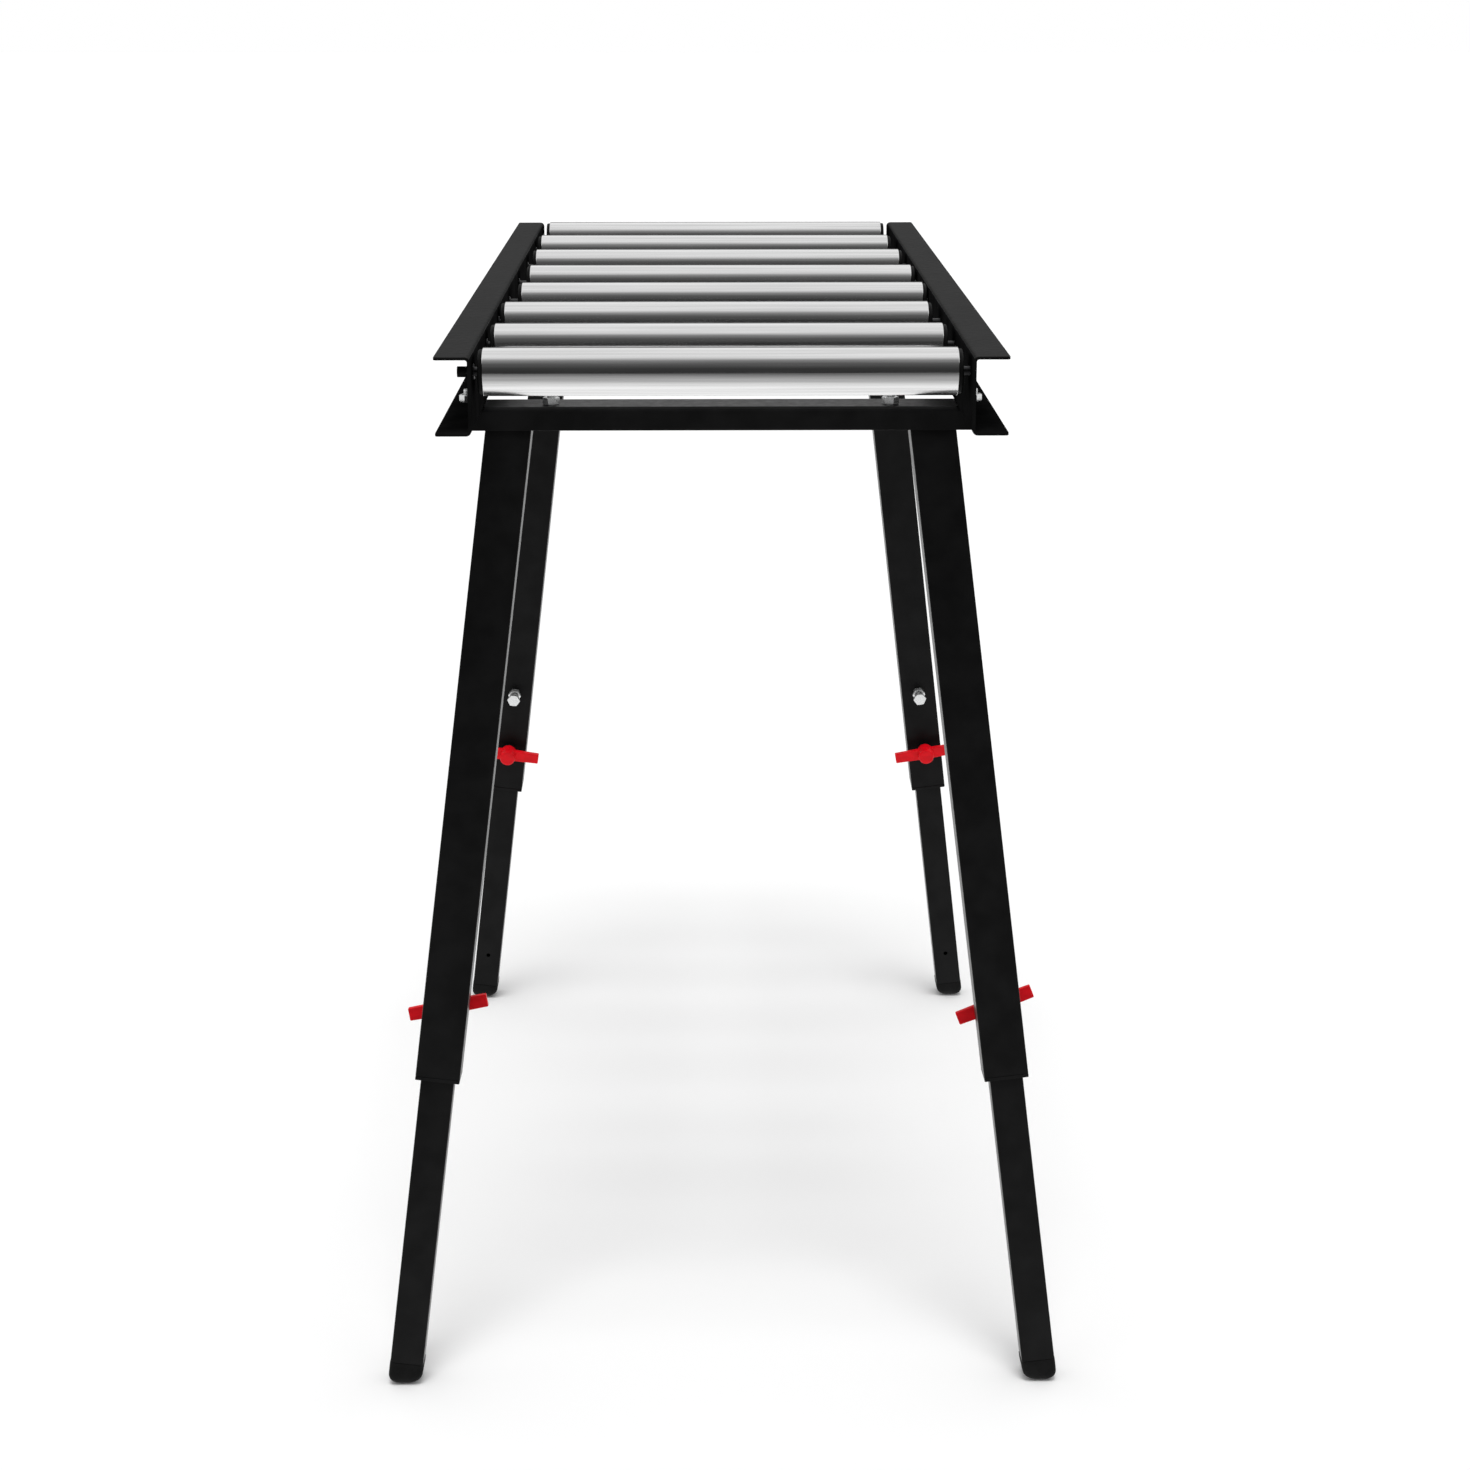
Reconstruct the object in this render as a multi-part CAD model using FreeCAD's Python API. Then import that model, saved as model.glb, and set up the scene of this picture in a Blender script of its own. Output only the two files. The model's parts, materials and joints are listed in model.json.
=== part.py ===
import FreeCAD, Part
import math
import os

# A gravity roller conveyor on four splayed telescopic legs.
# Millimetres. X runs across the rollers, Y along the rails with the front at -Y, Z up.
# The origin is on the floor under the middle of the conveyor.

Vector = FreeCAD.Vector

# Side rails: bent sheet channels, webs towards the rollers, flanges outwards
rail_length = 1100.0
rail_height = 65.0
rail_flange = 30.0
rail_top = 955.0
sheet = 2.5
bend_inside = 2.0
web_gap = 409.0
flange_corner = 3.0

# Rollers
roller_count = 8
roller_pitch = 148.0
roller_diameter = 40.0
roller_length = 391.0
roller_wall = 1.5
roller_lip = 1.0
roller_drop = 16.5
roller_side_play = (-1.0, -1.4, -2.7, 3.7, 3.0, 0.7, -1.9, -0.5)

# Moulded end caps, pressed into the roller tubes
cap_face = 3.5
cap_edge = 1.5
cap_plug = 12.0
cap_mouth_radius = 7.0

# Ball bearings, 8 mm bore, 22 mm outside, 7 mm wide
bearing_radius = 11.0
bearing_width = 7.0
bearing_lip = 2.5
inner_ring_radius = 6.03
running_gap = 0.07
press_gap = 0.05

# Axles, held by a push-on cap outside and a snap ring inside the left rail
axle_diameter = 8.0
axle_chamfer = 0.6
axle_reach_left = 7.6
axle_reach_right = 1.0
axle_hole_gap = 0.15
axle_cap_length = 6.0
axle_cap_radius = 5.2
axle_cap_end = 1.0
snap_ring_radius = 6.5
snap_ring_thickness = 1.0
snap_ring_turn = 290.0

# Cross-members: inverted channels under the rails
member_width = 48.0
member_height = 20.5
member_setback = 145.0
member_end_inset = 1.0

# Legs
leg_top_x = 183.3
leg_inset = 0.7
leg_splay_x = 7.0
leg_splay_y = 6.4
upper_tube = 40.0
upper_length = 606.0
lower_tube = 30.0
lower_length = 560.0
tube_wall = 2.0
tube_corner = 3.0
foot_hole_diameter = 5.0
foot_hole_height = 62.0

# Head plates on the upper legs
plate_inner_x = 133.0
plate_outer_x = 232.0
plate_width = 38.0
plate_thickness = 4.0
plate_corner = 5.0

# Feet: rubber plugs with a domed head
foot_size = 31.0
foot_corner = 4.0
foot_height = 20.0
foot_dome = 11.0
foot_press = 0.6
foot_plug_length = 18.0

# M8 fasteners
bolt_diameter = 8.0
bolt_clearance = 9.0
hex_across_flats = 13.0
head_height = 5.3
nut_height = 6.5
bolt_end = 4.5
frame_bolt_inner_x = 148.0
frame_bolt_outer_x = 220.5
frame_bolt_setback = 17.0
thread_gap = 0.05

# Clamp knobs and lock bolts on the legs' inner faces
knob_height = 54.5
knob_hub_diameter = 18.0
knob_hub_length = 21.0
knob_hub_edge = 2.0
knob_stand_off = 2.5
knob_screw_depth = 15.0
wing_reach = 36.4
wing_root_height = 13.0
wing_tip_height = 11.5
wing_thickness = 6.5
wing_offset = 4.5
wing_edge = 1.2
wing_corner = 2.0
clamp_tip_gap = 0.3
knob_turn = {"front_left": -17.4, "front_right": -14.2, "rear_left": -1.2, "rear_right": 2.8}
lock_bolt_height = 126.3
lock_bolt_shank = 7.5

# Derived places
rail_bottom = rail_top - rail_height
half_gap = web_gap / 2
half_width = half_gap + rail_flange
bend_outside = bend_inside + sheet
axle_z = rail_top - roller_drop
axle_radius = axle_diameter / 2
roller_radius = roller_diameter / 2
member_outer_y = rail_length / 2 - member_setback
member_middle_y = member_outer_y - member_width / 2
frame_bolt_y = member_outer_y - frame_bolt_setback
leg_top_z = rail_bottom - sheet - plate_thickness
leg_top_y = member_middle_y - leg_inset
leg_slope = Vector(math.tan(math.radians(leg_splay_x)), math.tan(math.radians(leg_splay_y)), -1)
leg_to_floor = leg_top_z * leg_slope.Length
foot_top = leg_to_floor - foot_height
lower_start = foot_top - lower_length
knob_z = upper_length - knob_height
lock_bolt_z = upper_length - lock_bolt_height
hub_start = upper_tube / 2 + nut_height + knob_stand_off

legs = {
    "front_left": (-1, -1),
    "front_right": (1, -1),
    "rear_left": (-1, 1),
    "rear_right": (1, 1),
}
along_x = Vector(1, 0, 0)
along_y = Vector(0, 1, 0)
along_z = Vector(0, 0, 1)
same_place = 1e-6


def rounded_wire(corners):
    """Closed wire through (point, radius) corners; a radius of zero keeps the corner sharp."""
    starts = []
    ends = []
    arcs = []
    for index, (point, radius) in enumerate(corners):
        back = (corners[index - 1][0] - point).normalize()
        ahead = (corners[(index + 1) % len(corners)][0] - point).normalize()
        if radius == 0:
            starts.append(point)
            ends.append(point)
            arcs.append(None)
            continue
        half_angle = back.getAngle(ahead) / 2
        reach = radius / math.tan(half_angle)
        bisector = (back + ahead).normalize()
        middle = point + bisector * (radius / math.sin(half_angle) - radius)
        starts.append(point + back * reach)
        ends.append(point + ahead * reach)
        arcs.append(Part.Arc(starts[-1], middle, ends[-1]).toShape())
    edges = []
    for index, arc in enumerate(arcs):
        if arc:
            edges.append(arc)
        following = starts[(index + 1) % len(starts)]
        if not ends[index].isEqual(following, same_place):
            edges.append(Part.LineSegment(ends[index], following).toShape())
    return Part.Wire(edges)


def prism(corners, direction):
    """Solid swept straight from a rounded outline."""
    return Part.Face(rounded_wire(corners)).extrude(direction)


def turned(profile, centre):
    """Solid of revolution about X from (x, radius) points, with the x axis through centre."""
    points = [Vector(x, 0, radius) for x, radius in profile]
    points.append(points[0])
    solid = Part.Face(Part.makePolygon(points)).revolve(Vector(), along_x, 360)
    solid.translate(centre)
    return solid


def rod(start, direction, radius, length):
    """Plain round bar."""
    return Part.makeCylinder(radius, length, start, direction)


def hexagon(start, direction, height):
    """Hexagonal prism of the M8 size, flats level with X or Y."""
    radius = hex_across_flats / math.sqrt(3)
    corners = []
    for index in range(6):
        angle = math.radians(60 * index)
        corners.append((Vector(radius * math.cos(angle), radius * math.sin(angle), 0), 0))
    solid = prism(corners, Vector(0, 0, height))
    solid.Placement = FreeCAD.Placement(start, FreeCAD.Rotation(along_z, direction))
    return solid


def square_block(width, radius, start, height):
    """Square bar along the leg's own Z, with rounded corners."""
    half = width / 2
    outline = [(half, half), (-half, half), (-half, -half), (half, -half)]
    return prism([(Vector(x, y, start), radius) for x, y in outline], Vector(0, 0, height))


def square_tube(size, start, length):
    """Square hollow section along the leg's own Z, with rounded corners."""
    outside = square_block(size, tube_corner, start, length)
    inside = square_block(size - 2 * tube_wall, tube_corner - tube_wall, start, length)
    return outside.cut(inside)


def leg_placement(side, end):
    """Leg frame: Z down the leg, Y towards the conveyor's middle, origin under the head plate."""
    down = Vector(side * leg_slope.x, end * leg_slope.y, leg_slope.z).normalize()
    inward = Vector(0, -end, 0)
    inward = (inward - down * inward.dot(down)).normalize()
    across = inward.cross(down)
    matrix = FreeCAD.Matrix(
        across.x, inward.x, down.x, side * leg_top_x,
        across.y, inward.y, down.y, end * leg_top_y,
        across.z, inward.z, down.z, leg_top_z,
        0, 0, 0, 1)
    return FreeCAD.Placement(matrix)


def placed(solid, name):
    """Copy of a leg piece in its place on the named leg."""
    copy = solid.copy()
    copy.Placement = leg_placement(*legs[name]).multiply(copy.Placement)
    return copy


def write(node, *solids):
    """One file per node; a node of several solids stays a group of separate solids."""
    shape = solids[0] if len(solids) == 1 else Part.makeCompound(list(solids))
    shape.exportStep(f"parts/{node}.step")


def roller_places():
    """Centre of each roller's axis, front to rear."""
    first = -roller_pitch * (roller_count - 1) / 2
    return [Vector(0, first + index * roller_pitch, axle_z) for index in range(roller_count)]


def frame_bolt_places():
    """Foot of each frame nut: on the cross-member inside the rails, on the rail's flange outside."""
    places = []
    for side, end in legs.values():
        places.append(Vector(side * frame_bolt_inner_x, end * frame_bolt_y, rail_bottom))
        places.append(Vector(side * frame_bolt_outer_x, end * frame_bolt_y, rail_bottom + sheet))
    return places


# Side rails

def make_rail(side):
    """Bent channel with axle holes in the web and bolt holes in the lower flange."""
    start = -rail_length / 2
    inner = side * half_gap
    web = side * (half_gap + sheet)
    tip = side * half_width
    section = [
        (tip, rail_top, 0),
        (inner, rail_top, bend_outside),
        (inner, rail_bottom, bend_outside),
        (tip, rail_bottom, 0),
        (tip, rail_bottom + sheet, 0),
        (web, rail_bottom + sheet, bend_inside),
        (web, rail_top - sheet, bend_inside),
        (tip, rail_top - sheet, 0),
    ]
    corners = [(Vector(x, start, z), radius) for x, z, radius in section]
    rail = prism(corners, Vector(0, rail_length, 0))
    tips = [edge for edge in rail.Edges if is_flange_corner(edge, tip)]
    rail = rail.makeFillet(flange_corner, tips)
    holes = []
    for centre in roller_places():
        mouth = Vector(inner - side * sheet, centre.y, centre.z)
        holes.append(rod(mouth, Vector(side, 0, 0), axle_radius + axle_hole_gap, 3 * sheet))
    for end in (-1, 1):
        below = Vector(side * frame_bolt_outer_x, end * frame_bolt_y, rail_bottom - sheet)
        holes.append(rod(below, along_z, bolt_clearance / 2, 3 * sheet))
    return rail.cut(holes)


def is_flange_corner(edge, tip):
    """Upright edge at a free corner of a flange."""
    first = edge.Vertexes[0].Point
    last = edge.Vertexes[-1].Point
    upright = abs(first.x - last.x) + abs(first.y - last.y) < same_place
    return upright and abs(first.x - tip) < same_place


# Cross-members

def make_cross_member(end):
    """Inverted channel with four bolt holes in its top."""
    start = -half_width + member_end_inset
    outer = end * member_outer_y
    inner = end * (member_outer_y - member_width)
    wall = end * sheet
    low = rail_bottom - member_height
    section = [
        (outer, low, 0),
        (outer, rail_bottom, bend_outside),
        (inner, rail_bottom, bend_outside),
        (inner, low, 0),
        (inner + wall, low, 0),
        (inner + wall, rail_bottom - sheet, bend_inside),
        (outer - wall, rail_bottom - sheet, bend_inside),
        (outer - wall, low, 0),
    ]
    corners = [(Vector(start, y, z), radius) for y, z, radius in section]
    member = prism(corners, Vector(-2 * start, 0, 0))
    holes = []
    for side in (-1, 1):
        for x in (frame_bolt_inner_x, frame_bolt_outer_x):
            below = Vector(side * x, end * frame_bolt_y, rail_bottom - 2 * sheet)
            holes.append(rod(below, along_z, bolt_clearance / 2, 3 * sheet))
    return member.cut(holes)


# Rollers: tube, end caps and bearing rings about each axle

def make_roller_tube(centre):
    """Steel tube with its outer rims broken."""
    half = roller_length / 2
    bore = roller_radius - roller_wall
    profile = [
        (-half, bore),
        (-half, roller_radius - roller_lip),
        (-half + roller_lip, roller_radius),
        (half - roller_lip, roller_radius),
        (half, roller_radius - roller_lip),
        (half, bore),
    ]
    return turned(profile, centre)


def both_ends(profile, centre):
    """A turned piece for the right end of a roller and its mirror image for the left end."""
    shift = roller_length / 2
    right = [(x + shift, radius) for x, radius in profile]
    left = [(-x - shift, radius) for x, radius in profile]
    return [turned(left, centre), turned(right, centre)]


def make_end_caps(centre):
    """Moulded plug with a bevelled face outside the tube and a bearing seat inside."""
    plug_radius = roller_radius - roller_wall - press_gap
    seat = bearing_radius + press_gap
    lip = cap_face - bearing_lip + press_gap
    profile = [
        (cap_face, cap_mouth_radius),
        (cap_face, plug_radius - cap_edge),
        (cap_face - cap_edge, plug_radius),
        (-cap_plug, plug_radius),
        (-cap_plug, seat),
        (lip, seat),
        (lip, cap_mouth_radius),
    ]
    return both_ends(profile, centre)


def make_outer_rings(centre):
    """Bearing outer ring, closed by its shields down to the inner ring."""
    front = cap_face - bearing_lip
    back = front - bearing_width
    shield_bore = inner_ring_radius + running_gap
    profile = [(back, shield_bore), (back, bearing_radius), (front, bearing_radius), (front, shield_bore)]
    return both_ends(profile, centre)


def make_inner_rings(centre):
    """Bearing inner ring on the axle."""
    front = cap_face - bearing_lip
    back = front - bearing_width
    bore = axle_radius + press_gap
    profile = [(back, bore), (back, inner_ring_radius), (front, inner_ring_radius), (front, bore)]
    return both_ends(profile, centre)


# Axles

def make_axle(centre):
    """Round bar through both webs, chamfered at its ends."""
    left = -half_gap - sheet - axle_reach_left
    right = half_gap + sheet + axle_reach_right
    profile = [
        (left, 0),
        (left, axle_radius - axle_chamfer),
        (left + axle_chamfer, axle_radius),
        (right - axle_chamfer, axle_radius),
        (right, axle_radius - axle_chamfer),
        (right, 0),
    ]
    return turned(profile, centre)


def make_axle_cap(centre):
    """Push-on cap over the axle's left end."""
    bore = axle_radius + press_gap
    floor = -half_gap - sheet - axle_reach_left - press_gap
    end = floor - axle_cap_end
    mouth = end + axle_cap_length
    profile = [
        (end, 0),
        (end, axle_cap_radius - axle_chamfer),
        (end + axle_chamfer, axle_cap_radius),
        (mouth, axle_cap_radius),
        (mouth, bore),
        (floor, bore),
        (floor, 0),
    ]
    return turned(profile, centre)


def make_snap_ring(centre):
    """Open ring on the axle, inside the left web."""
    start = centre + Vector(-half_gap + press_gap, 0, 0)
    ring = Part.makeCylinder(snap_ring_radius, snap_ring_thickness, start, along_x, snap_ring_turn)
    return ring.cut(rod(start, along_x, axle_radius + press_gap, snap_ring_thickness))


# Legs

def make_upper_leg(name):
    """Square tube cut level under its head plate, with two screw holes in the inner face."""
    slack = upper_tube / 2
    tube = square_tube(upper_tube, -slack, upper_length + slack)
    for height in (knob_z, lock_bolt_z):
        mouth = Vector(0, upper_tube / 2 - 2 * tube_wall, height)
        tube = tube.cut(rod(mouth, along_y, bolt_clearance / 2, 3 * tube_wall))
    tube = placed(tube, name)
    side, end = legs[name]
    above = Part.makeBox(4 * slack, 4 * slack, 4 * slack)
    above.translate(Vector(side * leg_top_x - 2 * slack, end * leg_top_y - 2 * slack, leg_top_z))
    return tube.cut(above)


def make_head_plate(name):
    """Flat bar welded on the upper leg, bolted up under the cross-member."""
    side, end = legs[name]
    near = end * (member_middle_y - plate_width / 2)
    far = end * (member_middle_y + plate_width / 2)
    inner = side * plate_inner_x
    outer = side * plate_outer_x
    outline = [(inner, near), (outer, near), (outer, far), (inner, far)]
    corners = [(Vector(x, y, leg_top_z), plate_corner) for x, y in outline]
    plate = prism(corners, Vector(0, 0, plate_thickness))
    for x in (frame_bolt_inner_x, frame_bolt_outer_x):
        below = Vector(side * x, end * frame_bolt_y, leg_top_z - sheet)
        plate = plate.cut(rod(below, along_z, bolt_clearance / 2, plate_thickness + 2 * sheet))
    return plate


def make_lower_leg():
    """Sliding square tube with a small hole above the foot."""
    tube = square_tube(lower_tube, lower_start, lower_length)
    mouth = Vector(0, lower_tube / 2 - 2 * tube_wall, leg_to_floor - foot_hole_height)
    return tube.cut(rod(mouth, along_y, foot_hole_diameter / 2, 3 * tube_wall))


def foot_head():
    """Square head whose lower rim is rounded over from both directions."""
    half = foot_size / 2
    bottom = leg_to_floor + foot_press
    outline = [(-half, foot_top, 0), (half, foot_top, 0),
               (half, bottom, foot_dome), (-half, bottom, foot_dome)]
    seen_along_y = [(Vector(u, -half, z), radius) for u, z, radius in outline]
    seen_along_x = [(Vector(-half, u, z), radius) for u, z, radius in outline]
    head = prism(seen_along_y, along_y * foot_size).common(prism(seen_along_x, along_x * foot_size))
    return head.common(square_block(foot_size, foot_corner, foot_top, bottom - foot_top))


def make_foot(name):
    """Rubber plug: a square stem in the tube and a domed head, pressed flat on the floor."""
    stem_width = lower_tube - 2 * tube_wall - 2 * press_gap
    stem = square_block(stem_width, tube_corner - tube_wall, foot_top - foot_plug_length, foot_plug_length)
    foot = placed(foot_head().fuse(stem).removeSplitter(), name)
    centre = leg_placement(*legs[name]).multVec(Vector(0, 0, leg_to_floor))
    floor = Part.makeBox(2 * foot_size, 2 * foot_size, foot_size)
    floor.translate(Vector(centre.x - foot_size, centre.y - foot_size, -foot_size))
    return foot.cut(floor)


# Clamp knobs, lock bolts and frame bolts

def make_knob(name):
    """Moulded hub with two tapered wings and a bore for the screw, along the leg's own Y."""
    hub = rod(Vector(0, hub_start, 0), along_y, knob_hub_diameter / 2, knob_hub_length)
    rims = [edge for edge in hub.Edges if len(edge.Vertexes) == 1 and edge.Length > knob_hub_diameter]
    outer_rim = max(rims, key=lambda edge: edge.BoundBox.Center.y)
    hub = hub.makeChamfer(knob_hub_edge, [outer_rim])
    root = wing_root_height / 2
    tip = wing_tip_height / 2
    back = hub_start + wing_offset
    outline = [(-wing_reach, tip), (0, root), (wing_reach, tip),
               (wing_reach, -tip), (0, -root), (-wing_reach, -tip)]
    corners = [(Vector(x, back, z), 0 if x == 0 else wing_corner) for x, z in outline]
    wings = prism(corners, Vector(0, wing_thickness, 0))
    face = back + wing_thickness
    rim = [edge for edge in wings.Edges if all(abs(v.Y - face) < same_place for v in edge.Vertexes)]
    wings = wings.makeChamfer(wing_edge, rim)
    knob = hub.fuse(wings).removeSplitter()
    bore = rod(Vector(0, hub_start, 0), along_y, bolt_diameter / 2 + press_gap, knob_screw_depth)
    knob = knob.cut(bore)
    knob.rotate(Vector(), along_y, knob_turn[name])
    knob.translate(Vector(0, 0, knob_z))
    return placed(knob, name)


def make_clamp_screw():
    """Screw from inside the knob to just short of the lower tube."""
    tip = lower_tube / 2 + clamp_tip_gap
    length = hub_start + knob_screw_depth - press_gap - tip
    return rod(Vector(0, tip, knob_z), along_y, bolt_diameter / 2, length)


def make_weld_nut(height):
    """Hex nut on the upper tube's inner face, its flats turned with the leg."""
    face = Vector(0, upper_tube / 2, height)
    nut = hexagon(face, along_y, nut_height)
    return nut.cut(rod(face, along_y, bolt_diameter / 2 + thread_gap, nut_height))


def make_lock_bolt():
    """Hex bolt through the weld nut, its tip just short of the lower tube."""
    tip = lower_tube / 2 + clamp_tip_gap
    seat = upper_tube / 2 + nut_height + lock_bolt_shank
    shank = rod(Vector(0, tip, lock_bolt_z), along_y, bolt_diameter / 2, seat - tip)
    return shank.fuse(hexagon(Vector(0, seat, lock_bolt_z), along_y, head_height))


def make_frame_bolt(place):
    """Hex bolt from under the head plate, its end standing above the nut."""
    foot = Vector(place.x, place.y, leg_top_z)
    head = hexagon(foot, Vector(0, 0, -1), head_height)
    shank = rod(foot, along_z, bolt_diameter / 2, place.z - leg_top_z + nut_height + bolt_end)
    return shank.fuse(head)


def make_frame_nut(place):
    """Hex nut on a frame bolt."""
    return hexagon(place, along_z, nut_height).cut(
        rod(place, along_z, bolt_diameter / 2 + thread_gap, nut_height))


def build():
    os.makedirs("parts", exist_ok=True)
    write("left_rail", make_rail(-1))
    write("right_rail", make_rail(1))
    write("front_cross_member", make_cross_member(-1))
    write("rear_cross_member", make_cross_member(1))

    centres = roller_places()
    shifted = [centre + Vector(play, 0, 0) for centre, play in zip(centres, roller_side_play)]
    inner_rings = []
    for number, centre in enumerate(shifted, start=1):
        write(f"roller_tube_{number}", make_roller_tube(centre))
        write(f"roller_end_caps_{number}", *make_end_caps(centre))
        write(f"roller_bearings_{number}", *make_outer_rings(centre))
        inner_rings += make_inner_rings(centre)
    write("bearing_inner_rings", *inner_rings)
    write("roller_axles", *[make_axle(centre) for centre in centres])
    write("axle_caps", *[make_axle_cap(centre) for centre in centres])
    write("axle_snap_rings", *[make_snap_ring(centre) for centre in centres])

    for name in legs:
        write(f"upper_leg_{name}", make_upper_leg(name))
        write(f"lower_leg_{name}", placed(make_lower_leg(), name))
        write(f"foot_{name}", make_foot(name))
        write(f"clamp_knob_{name}", make_knob(name))
        write(f"clamp_screw_{name}", placed(make_clamp_screw(), name))
    write("leg_head_plates", *[make_head_plate(name) for name in legs])
    write("clamp_nuts", *[placed(make_weld_nut(knob_z), name) for name in legs])
    write("lock_nuts", *[placed(make_weld_nut(lock_bolt_z), name) for name in legs])
    write("lock_bolts", *[placed(make_lock_bolt(), name) for name in legs])
    write("frame_bolts", *[make_frame_bolt(place) for place in frame_bolt_places()])
    write("frame_nuts", *[make_frame_nut(place) for place in frame_bolt_places()])


build()
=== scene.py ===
"""Looks of a gravity roller conveyor on four splayed telescopic legs, in metres."""

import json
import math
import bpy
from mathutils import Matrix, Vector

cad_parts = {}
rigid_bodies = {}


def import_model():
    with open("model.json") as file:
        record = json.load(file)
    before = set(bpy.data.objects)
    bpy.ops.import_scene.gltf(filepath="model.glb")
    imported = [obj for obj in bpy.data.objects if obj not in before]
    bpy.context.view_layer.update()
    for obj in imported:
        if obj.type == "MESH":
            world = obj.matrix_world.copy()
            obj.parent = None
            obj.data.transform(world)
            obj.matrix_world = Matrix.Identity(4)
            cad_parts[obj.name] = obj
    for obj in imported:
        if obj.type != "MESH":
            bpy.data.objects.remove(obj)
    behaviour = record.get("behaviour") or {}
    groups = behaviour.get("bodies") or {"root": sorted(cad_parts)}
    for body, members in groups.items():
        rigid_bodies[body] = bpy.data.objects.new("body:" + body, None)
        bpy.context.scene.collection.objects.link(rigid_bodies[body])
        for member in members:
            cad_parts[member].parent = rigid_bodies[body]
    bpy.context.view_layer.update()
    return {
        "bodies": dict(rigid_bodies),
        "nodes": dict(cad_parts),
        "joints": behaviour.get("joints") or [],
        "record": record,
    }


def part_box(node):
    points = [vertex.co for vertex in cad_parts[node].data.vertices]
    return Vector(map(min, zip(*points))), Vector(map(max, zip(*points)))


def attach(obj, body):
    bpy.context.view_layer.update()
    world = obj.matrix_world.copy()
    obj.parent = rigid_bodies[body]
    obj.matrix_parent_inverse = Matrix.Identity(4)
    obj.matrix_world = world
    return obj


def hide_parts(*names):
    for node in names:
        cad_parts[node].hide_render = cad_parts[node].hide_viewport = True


bl_info = {
    "name": "Roller Conveyor",
    "version": (1, 0, 0),
    "blender": (4, 5, 0),
    "location": "3D View > Sidebar > Conveyor",
    "description": "Dresses a roller conveyor: finishes, sheet metal, rollers, legs, fasteners, stage",
    "category": "Object",
}

import bmesh
import bpy
from bpy.props import FloatProperty, FloatVectorProperty, IntProperty, PointerProperty
from mathutils import Vector

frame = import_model()

MM = 0.001
X = Vector((1, 0, 0))
Y = Vector((0, 1, 0))
Z = Vector((0, 0, 1))
LEGS = ("front_left", "front_right", "rear_left", "rear_right")
ROLLERS = range(1, 1 + sum(body.startswith("roller_") for body in frame["bodies"]))
JOINTS = {joint["name"]: joint for joint in frame["joints"]}

# Points closer than this are one point, and edges sharper than this stay sharp
SAME_PLACE = 1e-6
SHARP_ANGLE = math.radians(32)

# Faces over a bend, an edge, a rim, a sole and a flare
BEND_STEPS = 8
EDGE_STEPS = 3
RIM_STEPS = 6
SOLE_STEPS = 12
FLARE_STEPS = 12

# Faces round a hole, a hub, a hexagon and a thread, and rings in one turn of a thread
HOLE_STEPS = 40
HUB_STEPS = 80
HEX_STEPS = 72
THREAD_STEPS = 48
ROWS_PER_TURN = 10

# Gap between pieces that are pushed or screwed together
CLEARANCE = 0.05 * MM

# Groove in an end cap's face: its span between mouth and rim, and its depth as a share of the rim
GROOVE_SPAN = (0.3, 0.6)
GROOVE_DEPTH = 0.2

# Largest corner radius of a foot's sole, as a share of its half width
ROUNDEST = 0.95

# A wing's start and its flare's end in hub radii, and how much taller it is at the knob's axis
WING_ROOT = 0.7
FLARE_END = 1.35
WING_TAPER = 0.13

# A knob's points past this share of its reach, or of the way from wings to hub face, give its sizes
WING_END = 0.9
HUB_FACE = 0.2

# Hex crown: its flat as a share of the width across flats, and the slope of its cone
CROWN_SHARE = 0.96
CONE_SLOPE = math.tan(math.radians(30))

# Washer face of a bolt head, a thread's flat crest as a share of its flank, and the frame nuts' turn
WASHER_FACE = 0.3 * MM
THREAD_FLAT = 0.1
NUT_TURN = math.radians(11)

# Gloss of the coat on open faces, and on both faces of the rails' webs, where taking the reflection away
# is painted shade
COAT_GLOSS = 0.08
WEB_PAINTED_SHADE_GLOSS = 0.0

# Part of a noise's values that a colour or a roughness is spread over
COLOUR_SPAN = (0.35, 0.65)
ROUGHNESS_SPAN = (0.3, 0.7)

# The floor as the camera sees it
WHITE = (1, 1, 1, 1)
FLOOR_GREY = (0.90, 0.90, 0.90, 1)
FLOOR_ROUGHNESS = 0.9
FLOOR_LIFT = 0.01

# Grey levels in reflections: the floor from far in front to under the object, in metres along Y,
# and the studio from the front over the top to the back
FLOOR_FAR = -10.0
FLOOR_NEAR = 0.0
FLOOR_BOUNCE = ((0.0, 0.17), (0.5, 0.24), (0.79, 0.46), (0.84, 0.55), (0.89, 0.90), (0.92, 1.0))
STUDIO_ROUND = (
    (0.0, 0.03), (0.11, 0.04), (0.25, 0.11), (0.34, 0.27), (0.42, 0.78), (0.5, 0.88), (0.64, 0.82),
    (0.8, 1.0), (0.85, 0.85), (0.9, 0.22), (0.95, 0.08), (1.0, 0.07),
)


# Sizes and colours that a user would change

def length(name, description, millimetres):
    return FloatProperty(name=name, description=description, default=millimetres * MM, unit="LENGTH")


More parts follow.
